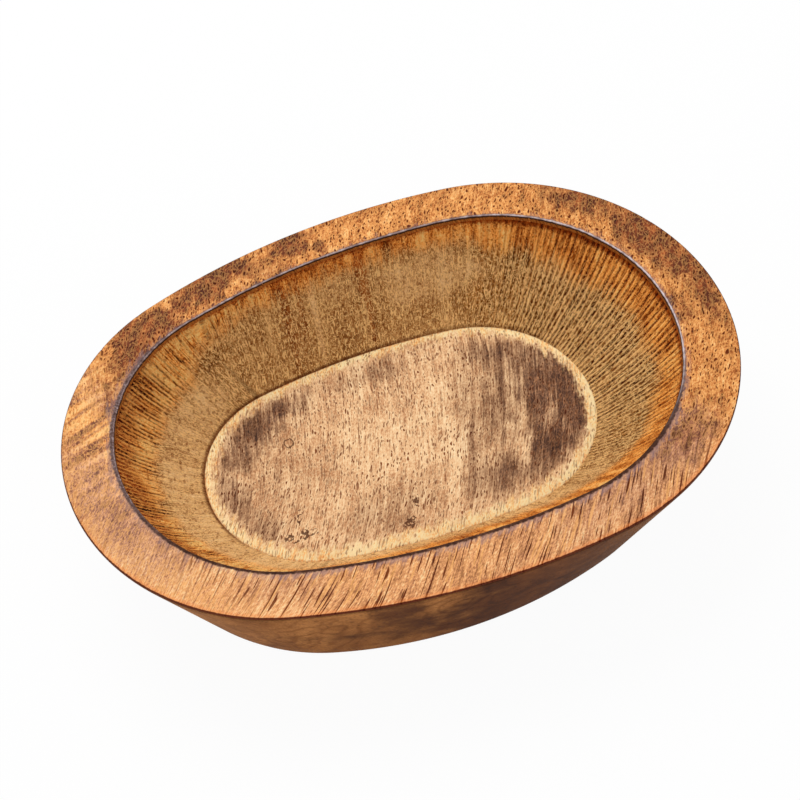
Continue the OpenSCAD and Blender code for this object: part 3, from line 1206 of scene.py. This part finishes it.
@dataclass(frozen=True)
class FloorFinish:
    """Dry pale floor, scorched in a crescent at each end inside a golden edge."""

    plain: Tones = Tones((130, 80, 46), (198, 142, 98), (240, 192, 142), (255, 226, 180))
    scorched: Tones = Tones((42, 24, 16), (84, 56, 42), (118, 82, 62), (208, 152, 108))
    # Golden band round the floor's edge: partly the wood's own colour, partly a painted highlight
    # on the strip's rounded edge.
    golden: Tones = Tones((196, 116, 56), (252, 182, 108), (255, 214, 144), (255, 236, 182))
    pore: Shade = (138, 92, 64)
    patches: tuple[Patch, ...] = rows(
        Patch, (-45, 31, 20, 7, 20, 0.75, 0.7), (-60, 19, 10, 8, 38, 0.62, 0.8),
        (-68, 3, 6, 14, 8, 0.65, 0.8), (-62, -16, 7, 12, 25, 0.45, 0.9),
        (67, 0, 9, 26, -6, 1.0, 0.6), (57, 4, 15, 28, -8, 0.8, 0.95),
        (52, -18, 15, 11, 35, 0.85, 0.8), (33, -26, 20, 9, 12, 0.7, 0.9),
        (47, 28, 12, 7, -25, 0.65, 0.8), (0, 37, 16, 6, 2, 0.4, 0.9),
        (26, 0, 9, 30, -18, 0.42, 0.9), (-20, -26, 24, 10, 15, 0.35, 1.0),
        (45, 6, 12, 30, -18, 0.62, 0.9), (-50, 8, 14, 22, 10, 0.2, 1.0),
        (59, 2, 7, 13, -12, 0.9, 0.8))
    cream: tuple[Patch, ...] = rows(
        Patch, (0, 9, 20, 15, -20, 0.9, 0.8), (42, -8, 3.5, 26, -21, 0.8, 0.7),
        (-40, -22, 16, 8, 20, 0.5, 0.8), (16, -10, 4, 20, -22, 0.5, 0.8))
    worm_marks: tuple[Patch, ...] = rows(
        Patch, (-48, -14.6, 1.2, 3.2, -22, 1.0, 0.3), (-50, -23, 6.0, 2.6, 4, 1.0, 0.3),
        (-11, -33, 3.2, 2.0, 24, 1.0, 0.3), (-6, -24, 1.3, 3.0, -20, 1.0, 0.3))

    def make(self) -> bpy.types.Material:
        """Makes the material."""
        graph = Graph("floor_wood")
        grain = Grain(graph)
        fine = grain.fibres(0.5, 5, 2.0)
        medium = grain.fibres(1.4, 24, 7.0)
        wide = grain.fibres(6.0, 60, 13.0, 1.0)
        broad = grain.haze(13, 6.0, 3.0)
        dust = graph.cloud(grain.flat(0.6, 1.1, 6.0), 2.0, 0.7)
        tone = (fine - 0.5) * 0.36 + (medium - 0.5) * 0.26 + (wide - 0.5) * 0.14 \
            + (dust - 0.5) * 0.42 + (broad - 0.5) * 0.26 + 0.51
        cream = strongest(self.cream, grain.warped(4.0, 3.0))
        tone = tone + cream * 0.16
        burn = strongest(self.patches, grain.warped(3.5, 3.2))
        burn = burn * (1.5 - medium * 0.65) + (0.5 - medium) * 0.12 - cream * 0.4
        inside = graph.noted("inside")
        rag = (grain.haze(2.2, 3.0, 3.0) - 0.5) * 2.2
        near = grain.y.step(-14, -38)
        border = (inside + rag - near + (medium - 0.5) * 4).step(5.8, 2.2)
        burn = burn * (1 - border * 0.9)
        colour = graph.mix(burn.step(0.0, 1.05), self.plain.over(tone),
                           self.scorched.over(tone))
        # Partly a painted highlight on the strip round the floor's edge, partly its golden wood.
        golden_band = (inside + rag * 1.4 - near + (medium - 0.5) * 5).step(5.4, 0.6) * 0.94
        colour = graph.mix(golden_band, colour, self.golden.over(tone * 1.7 - 0.1))
        pores, rings = grain.pores(1.3, 3.4, 0.19, 0.75, 3.0)
        dashes, _ = grain.pores(1.3, 9.0, 0.17, 0.5, 9.0)
        dark = pores.most(dashes * 0.8) * (broad * 0.7 + 0.5).least(1.0) * (1 - border * 0.3)
        curls = graph.curls(grain.flat(1.2, 2.4, 9.0), 0.1)
        fleck = graph.mix(burn.step(0.0, 1.0), shade(255, 226, 178), shade(190, 130, 84))
        colour = graph.mix(rings * 0.2 + curls * 0.25, colour, fleck)
        colour = graph.stain(dark, colour, *self.pore)
        worms = graph.curls(graph.vector(grain.x / 3.2, grain.y / 2.4, 4.4), 0.3).step(0.2, 0.5)
        gaps = grain.haze(1.5, 8.8, 1.0).step(0.34, 0.5)
        marks = strongest(self.worm_marks, grain.warped(0.8, 1.2)).step(0.45, 0.75) \
            * worms * gaps
        knot = Patch(-39.7, 18.5, 1.9, 1.9, 0.0, 1.0, 0.9).share(grain.warped(0.6, 0.5))
        knot = knot.step(0.30, 0.48) * knot.step(0.72, 0.52)
        dark = dark.most(marks).most(knot * 0.8)
        colour = graph.mix(marks.most(knot) * 0.9, colour, shade(86, 48, 26))
        # Painted shade in the crease where the floor meets the wall, weaker towards the right end.
        foot = (inside + rag * 0.4).step(0.7, -0.2) * (1 - grain.x.step(20, 60) * 0.6)
        colour = graph.stain(foot * 0.7, colour, 190, 126, 76)
        height = 0.7 - dark * 0.3 + fine * 0.35
        return graph.finish(colour, fine * 0.12 + 0.6, height, 0.2, 0.08)


@dataclass(frozen=True)
class WallFinish:
    """Wall of the hollow: toasted orange under the lip, olive brown below it."""

    brown: Tones = Tones((100, 50, 12), (158, 104, 52), (198, 148, 90), (236, 188, 130))
    olive: Tones = Tones((60, 22, 0), (118, 66, 18), (164, 106, 48), (220, 160, 94))
    orange: Tones = Tones((84, 24, 0), (180, 88, 18), (254, 168, 78), (255, 210, 128))
    tan: Tones = Tones((144, 92, 46), (204, 150, 94), (242, 194, 134), (255, 220, 162))
    # Light tone of the curls and cross marks, also the painted highlight on the rib crests.
    ridge: Shade = (248, 198, 128)
    toasted_ridge: Shade = (252, 172, 84)
    # Painted shade in the ribs' grooves.
    groove: Shade = (100, 46, 16)

    def make(self) -> bpy.types.Material:
        """Makes the material."""
        graph = Graph("wall_wood")
        grain = Grain(graph, level=False)
        loop = Loop(graph)
        inside = graph.noted("inside")
        scores = graph.cloud(loop.at(0.55, 7), 2.0, 0.6)
        runs = graph.cloud(loop.at(3.0, 40), 2.0, 0.6)
        grit = graph.cloud(loop.at(0.5, 0.7), 2.0, 0.7)
        mottle = graph.cloud(loop.at(10, 9), 3.0, 0.6)
        ribbed = graph.noted("ribbed")
        tone = (scores - 0.5) * (ribbed * 0.4 + 0.16) + (runs - 0.5) * 0.26 \
            + (grit - 0.5) * 0.5 + (mottle - 0.5) * 0.24 + 0.5
        flare = graph.cloud(loop.at(5.5, 14), 2.0, 0.6)
        aglow = graph.noted("toast").step(0.4, 0.7)
        left = loop.x.step(-10, -50)
        ahead = loop.y.step(0, -50)
        # Painted light: the toasted part lighter at the left end; below it the wall lighter at the
        # front-left and right end, darker at the front-right.
        side_light = ahead * (loop.x.step(0, -30) * 0.14 - 0.07) + loop.x.step(0, 60) * 0.08 - 0.03
        tone = tone + ((flare - 0.5) * (left * 0.5 + 0.5) + left * 0.3) * aglow \
            + (scores - 0.5) * left * aglow + side_light * (1 - aglow)
        colour = self.brown.over(tone)
        blur = (mottle - 0.5) * 0.4 + (runs - 0.5) * 0.25
        olive = (graph.noted("olive") + blur * 0.5).step(0.15, 0.75)
        colour = graph.mix(olive, colour, self.olive.over(tone))
        pale = (graph.noted("pale") + blur * 0.6).step(0.1, 0.9) * (1 - loop.y.step(30, 70) * 0.35)
        colour = graph.mix(pale, colour, self.tan.over(tone))
        toast = (graph.noted("toast") + blur * 0.7 + (scores - 0.5) * 0.25
                 + loop.y.step(-40, -78) * 0.2).step(0.26, 0.76)
        colour = graph.mix(toast, colour, self.orange.over(tone))
        streak = (graph.noted("streak") * (scores * 1.1 + 0.35)).step(0.15, 0.8)
        colour = graph.stain(streak * 0.9, colour, 206, 160, 112)
        colour = graph.stain(grit.step(0.62, 0.3) * left * aglow * 0.5, colour, 190, 120, 60)
        shadow = (inside + WALL_RUN - runs * 14).step(7, -2) * left * loop.y.step(56, 24)
        colour = graph.stain(shadow * 0.9, colour, 160, 92, 44)
        colour, crest, hollow, net = self.ribs(loop, colour, ribbed, toast, grit, flare)
        curls = graph.curls(loop.at(1.1, 1.4), 0.1)
        dashes = graph.cloud(graph.vector(loop.x / 0.5, loop.y / 0.5, loop.down / 2.2 + 9), 1.0)
        curls = curls.most((dashes + left * 0.05).step(0.62, 0.84))
        colour = graph.mix(curls * (0.85 - toast * 0.35), colour, self.light(toast))
        pores, _ = grain.pores(1.5, 2.4, 0.3, 0.6, 41.0)
        colour = graph.stain(pores * 0.5, colour, 150, 104, 60)
        rag = (grit - 0.5) * 0.8
        # Painted shade under the lip at the top of the wall, reaching further down at the right
        # end.
        under = (inside + (WALL_RUN - 0.6) + rag * 1.2 - loop.x.step(30, 70)).step(0.9, -0.8)
        colour = graph.stain(under, colour, 176, 132, 92)
        # Painted shade in the crease where the wall meets the floor, at the back and left, weaker
        # at the right end.
        foot = (inside + rag * 1.4).step(-1.7, -0.5) \
            * (loop.y - loop.x * 0.4).step(-20, 20) * (1 - loop.x.step(0, 50) * 0.4)
        colour = graph.stain(foot * 0.85, colour, 120, 76, 46)
        height = (0.5 + (grit - 0.5) * 0.4 + (scores - 0.5) * 0.2 - pores * 0.3 + curls * 0.2
                  + crest * 0.3 - hollow * 0.35 + net * 0.3)
        return graph.finish(colour, grit * 0.1 + 0.6, height, 0.45, 0.04)

    def light(self, toast: Flow) -> Flow:
        """Returns the tone of the wall's curls and of its crests, a painted highlight, deeper where
        it is toasted.
        """
        return toast.graph.mix(toast, shade(*self.ridge), shade(*self.toasted_ridge))

    def ribs(self, loop: Loop, colour: Flow, ribbed: Flow, toast: Flow, grit: Flow,
             flare: Flow) -> tuple[Flow, Flow, Flow, Flow]:
        """Colours the ribs: light crests low down, a painted highlight, and dark grooves, painted
        shade, in the toasted part.

        Args:
            loop: The place on the wall.
            colour: The wall's colour without its ribs.
            ribbed: How strongly the wall is ribbed.
            toast: How toasted the wall is.
            grit: Fine noise.
            flare: Where the toasted part is darker, at 0, or brighter, at 1.

        Returns:
            The colour, the crests, the grooves and the net of cross marks.
        """
        graph = loop.graph
        count = graph.node("ShaderNodeUVMap", {"uv_map": "ribs"})
        phase = graph.node("ShaderNodeSeparateXYZ", inputs={0: count})
        wobble = phase + (grit - 0.5) * 0.16
        swing = abs(wobble.fraction() * 2 - 1)
        rib = wobble.floor()
        own = graph.node("ShaderNodeTexWhiteNoise", {"noise_dimensions": "1D"}, {"W": rib},
                         output="Value")
        broken = graph.cloud(graph.vector(rib * 3.7, loop.down / 3.2, 0.0), 1.0)
        # Painted highlight along the rib crests.
        crest = swing.step(0.64, 0.86) * ribbed * (1 - toast * 0.4) * broken.step(0.1, 0.45)
        right = loop.x.step(-30, 30)
        bold = graph.mix(right, own.step(0.0, 0.7) * (1.5 - flare), own * 0.6 + 0.6).least(1.0)
        # Painted shade down the grooves between the ribs.
        hollow = (swing - right * 0.16 - own * (1 - right) * 0.3).step(0.33, 0.12) * ribbed \
            * bold * (1 - toast * (1 - right) * broken.step(0.4, 0.0))
        cross = (loop.down / 2.3 + own * 1.3 + (grit - 0.5) * 0.4).fraction()
        net = abs(cross * 2 - 1).step(0.7, 0.95) * ribbed * (1 - toast) \
            * graph.noted("olive").step(0.4, 0.9) * broken.step(0.45, 0.75)
        colour = graph.stain(hollow, colour, *self.groove)
        colour = graph.mix(crest * 0.85, colour, self.light(toast))
        colour = graph.mix(net * 0.8, colour, self.light(toast))
        return colour, crest, hollow, net


@dataclass(frozen=True)
class OutsideFinish:
    """Smooth oiled outside, with the block's growth rings as a faint figure."""

    plain: Tones = Tones((106, 60, 24), (160, 102, 54), (196, 132, 74), (226, 164, 100))
    deep: Tones = Tones((46, 18, 4), (80, 42, 18), (108, 62, 30), (146, 88, 46))
    name: str = "side_wood"
    whorls: tuple[Patch, ...] = rows(
        Patch, (-69, 24, 7, 22, -14, 0.8, 0.9), (-54, 26, 7, 20, -10, 0.9, 0.9),
        (-12, 33, 12, 15, 24, 1.0, 0.9), (38, 22, 22, 16, 10, 0.5, 0.9),
        (80, 28, 12, 20, 12, 0.7, 0.9))

    def make(self) -> bpy.types.Material:
        """Makes the material."""
        graph = Graph(self.name)
        grain = Grain(graph, level=False)
        fine = grain.fibres(0.7, 14, 3.0)
        medium = grain.fibres(3.0, 40, 6.0)
        broad = grain.haze(30, grain.z / 18, 3.0)
        stray = (grain.haze(7, grain.z / 7, 2.0) - 0.5) * 4
        face = graph.vector(grain.x + stray, grain.z + stray * 0.6, 0.0)
        whorls = strongest(self.whorls, face) * grain.y.step(-20, -50)
        figure = grain.haze(26, grain.z / 22, 1.0)
        rings = abs((figure * 2.6 + whorls * 2.4).fraction() * 2 - 1).step(0.45, 1.0) \
            * (whorls * 0.55 + 0.35)
        swirl = grain.haze(16, grain.z / 60, 2.0)
        tone = (fine - 0.5) * 0.22 + (medium - 0.5) * 0.12 + (broad - 0.5) * 0.2 + 0.5 \
            + (swirl - 0.5) * 0.3 - rings * 0.2
        deep = ((broad - 0.5) * 0.4 + (grain.x + grain.y * 0.2) / 260).step(-0.3, -0.08) \
            * (1 - grain.x.step(25, 80) * 0.5)
        colour = graph.mix(deep, self.plain.over(tone), self.deep.over(tone))
        pores, _ = grain.pores(1.8, 5.0, 0.24, 0.5, 51.0)
        colour = graph.mix(pores * 0.4, colour, shade(40, 20, 8))
        edge = (graph.noted("down") + (fine - 0.5) * 1.0).step(2.6, 1.2)
        colour = graph.mix(edge * 0.5, colour, shade(52, 26, 10))
        height = 0.7 - pores * 0.5 + fine * 0.2
        return graph.finish(colour, fine * 0.1 + 0.58, height, 0.08, 0.03)


@dataclass(frozen=True)
class SoftBox:
    """A large square lamp that looks at the bowl."""

    name: str
    place: tuple[float, float, float]
    size: float
    power: float

    def hang(self) -> None:
        """Hangs the lamp and turns it to the bowl."""
        lamp = bpy.data.lights.new(self.name, "AREA")
        lamp.shape, lamp.size, lamp.energy = "SQUARE", self.size, self.power
        held = put(self.name, lamp)
        held.location = self.place
        held.rotation_euler = (Vector((0, 0, 0.03)) - Vector(self.place)).to_track_quat(
            "-Z", "Y").to_euler()


@dataclass
class Studio:
    """Pale floor, white surround, soft lamps and the camera."""

    lens: float = 135.0
    distance: float = 1098.01
    elevation: float = 52.21
    azimuth: float = 18.33
    roll: float = -3.93
    aim_aside: float = -0.83
    aim_up: float = 47.34
    sensor: float = 36.0
    nearest: float = 0.01
    floor_half: float = 2.0
    floor_gap: float = 0.0002
    floor_white: float = 0.95
    surround: float = 0.5
    lamps: tuple[SoftBox, ...] = (
        SoftBox("key", (-0.15, 0.75, 1.15), 0.9, 12.0),
        SoftBox("front", (0.3, -1.2, 0.9), 0.9, 3.0))

    def set_camera(self) -> None:
        """Sets the camera at the photograph's angle."""
        turn = Matrix.Rotation(-math.radians(self.azimuth), 3, "Z")
        rise = math.radians(self.elevation)
        back = turn @ Vector((0, -math.cos(rise), math.sin(rise)))
        right = turn @ Vector((1, 0, 0))
        up = back.cross(right)
        lean = math.radians(self.roll)
        leaned_right = right * math.cos(lean) + up * math.sin(lean)
        leaned_up = up * math.cos(lean) - right * math.sin(lean)
        aim = turn @ Vector((self.aim_aside, 0, self.aim_up))
        data = bpy.data.cameras.new("camera")
        data.lens, data.sensor_width, data.clip_start = self.lens, self.sensor, self.nearest
        pose = Matrix((leaned_right, leaned_up, back)).transposed().to_4x4()
        pose.translation = (aim + back * self.distance) * MM
        camera = put("camera", data)
        camera.matrix_world = pose
        bpy.context.scene.camera = camera

    def lay_floor(self) -> bpy.types.Object:
        """Lays the pale floor, which keeps the bowl's shadow.

        Returns:
            The floor.
        """
        shape = bmesh.new()
        bmesh.ops.create_grid(shape, x_segments=1, y_segments=1, size=self.floor_half)
        bmesh.ops.translate(shape, vec=(0, 0, -self.floor_gap), verts=list(shape.verts))
        data = bpy.data.meshes.new("studio_floor")
        shape.to_mesh(data)
        shape.free()
        graph = Graph("pale_floor")
        matt = graph.node("ShaderNodeBsdfDiffuse", inputs={"Color": (0.88, 0.88, 0.88, 1.0)})
        white = graph.node("ShaderNodeEmission", inputs={
            "Color": (1.0, 1.0, 1.0, 1.0), "Strength": 1.0})
        both = graph.node("ShaderNodeMixShader", inputs={
            0: self.seen(graph) * self.floor_white, 1: matt, 2: white})
        graph.node("ShaderNodeOutputMaterial", inputs={"Surface": both})
        data.materials.append(graph.owner)
        floor = put("studio_floor", data)
        return floor

    def surround_white(self) -> None:
        """Surrounds the scene with white for the camera and soft grey for the light."""
        graph = Graph("surround", world=True)
        strength = self.seen(graph) * (1.0 - self.surround) + self.surround
        glow = graph.node("ShaderNodeBackground", inputs={
            "Color": (1.0, 1.0, 1.0, 1.0), "Strength": strength})
        graph.node("ShaderNodeOutputWorld", inputs={"Surface": glow})
        bpy.context.scene.world = graph.owner

    @staticmethod
    def seen(graph: Graph) -> Flow:
        """Returns 1 where the camera looks, straight on or by glossy or clear surfaces."""
        camera, glossy, clear = (
            graph.node("ShaderNodeLightPath", output=f"Is {kind} Ray")
            for kind in ("Camera", "Glossy", "Transmission"))
        return camera.most(glossy).most(clear)

    def build(self) -> None:
        """Sets up the whole studio."""
        self.set_camera()
        self.lay_floor()
        self.surround_white()
        for lamp in self.lamps:
            lamp.hang()
        bpy.context.scene.view_settings.view_transform = "Standard"


@dataclass
class DoughBowl:
    """The bowl: one carved block with a finish for each part of its skin."""

    low: Vector
    high: Vector

    def build(self) -> bpy.types.Object:
        """Builds and dresses the bowl in the place of the CAD node.

        Returns:
            The piece.
        """
        size = (self.high - self.low) / MM
        profile = Profile(size.x, size.y, size.z)
        marks = GougeMarks(profile.wall_middle)
        finishes = [
            OutsideFinish(name="base_wood").make(), OutsideFinish().make(), RimFinish().make(),
            WallFinish().make(), FloorFinish().make()]
        piece = BowlSkin(profile, marks, WallStains()).build("dough_bowl", finishes)
        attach(piece, "root")
        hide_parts("bowl")
        return piece


def main() -> None:
    """Builds the bowl and the studio and reports each piece."""
    logging.basicConfig(level=logging.INFO, format="%(name)s: %(message)s")
    bowl = DoughBowl(*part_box("bowl")).build()
    log.info("%s: %d faces", bowl.name, len(bowl.data.polygons))
    studio = Studio()
    studio.build()
    log.info("studio: floor, surround, %d lamps and camera", len(studio.lamps))


if __name__ == "__main__":
    main()
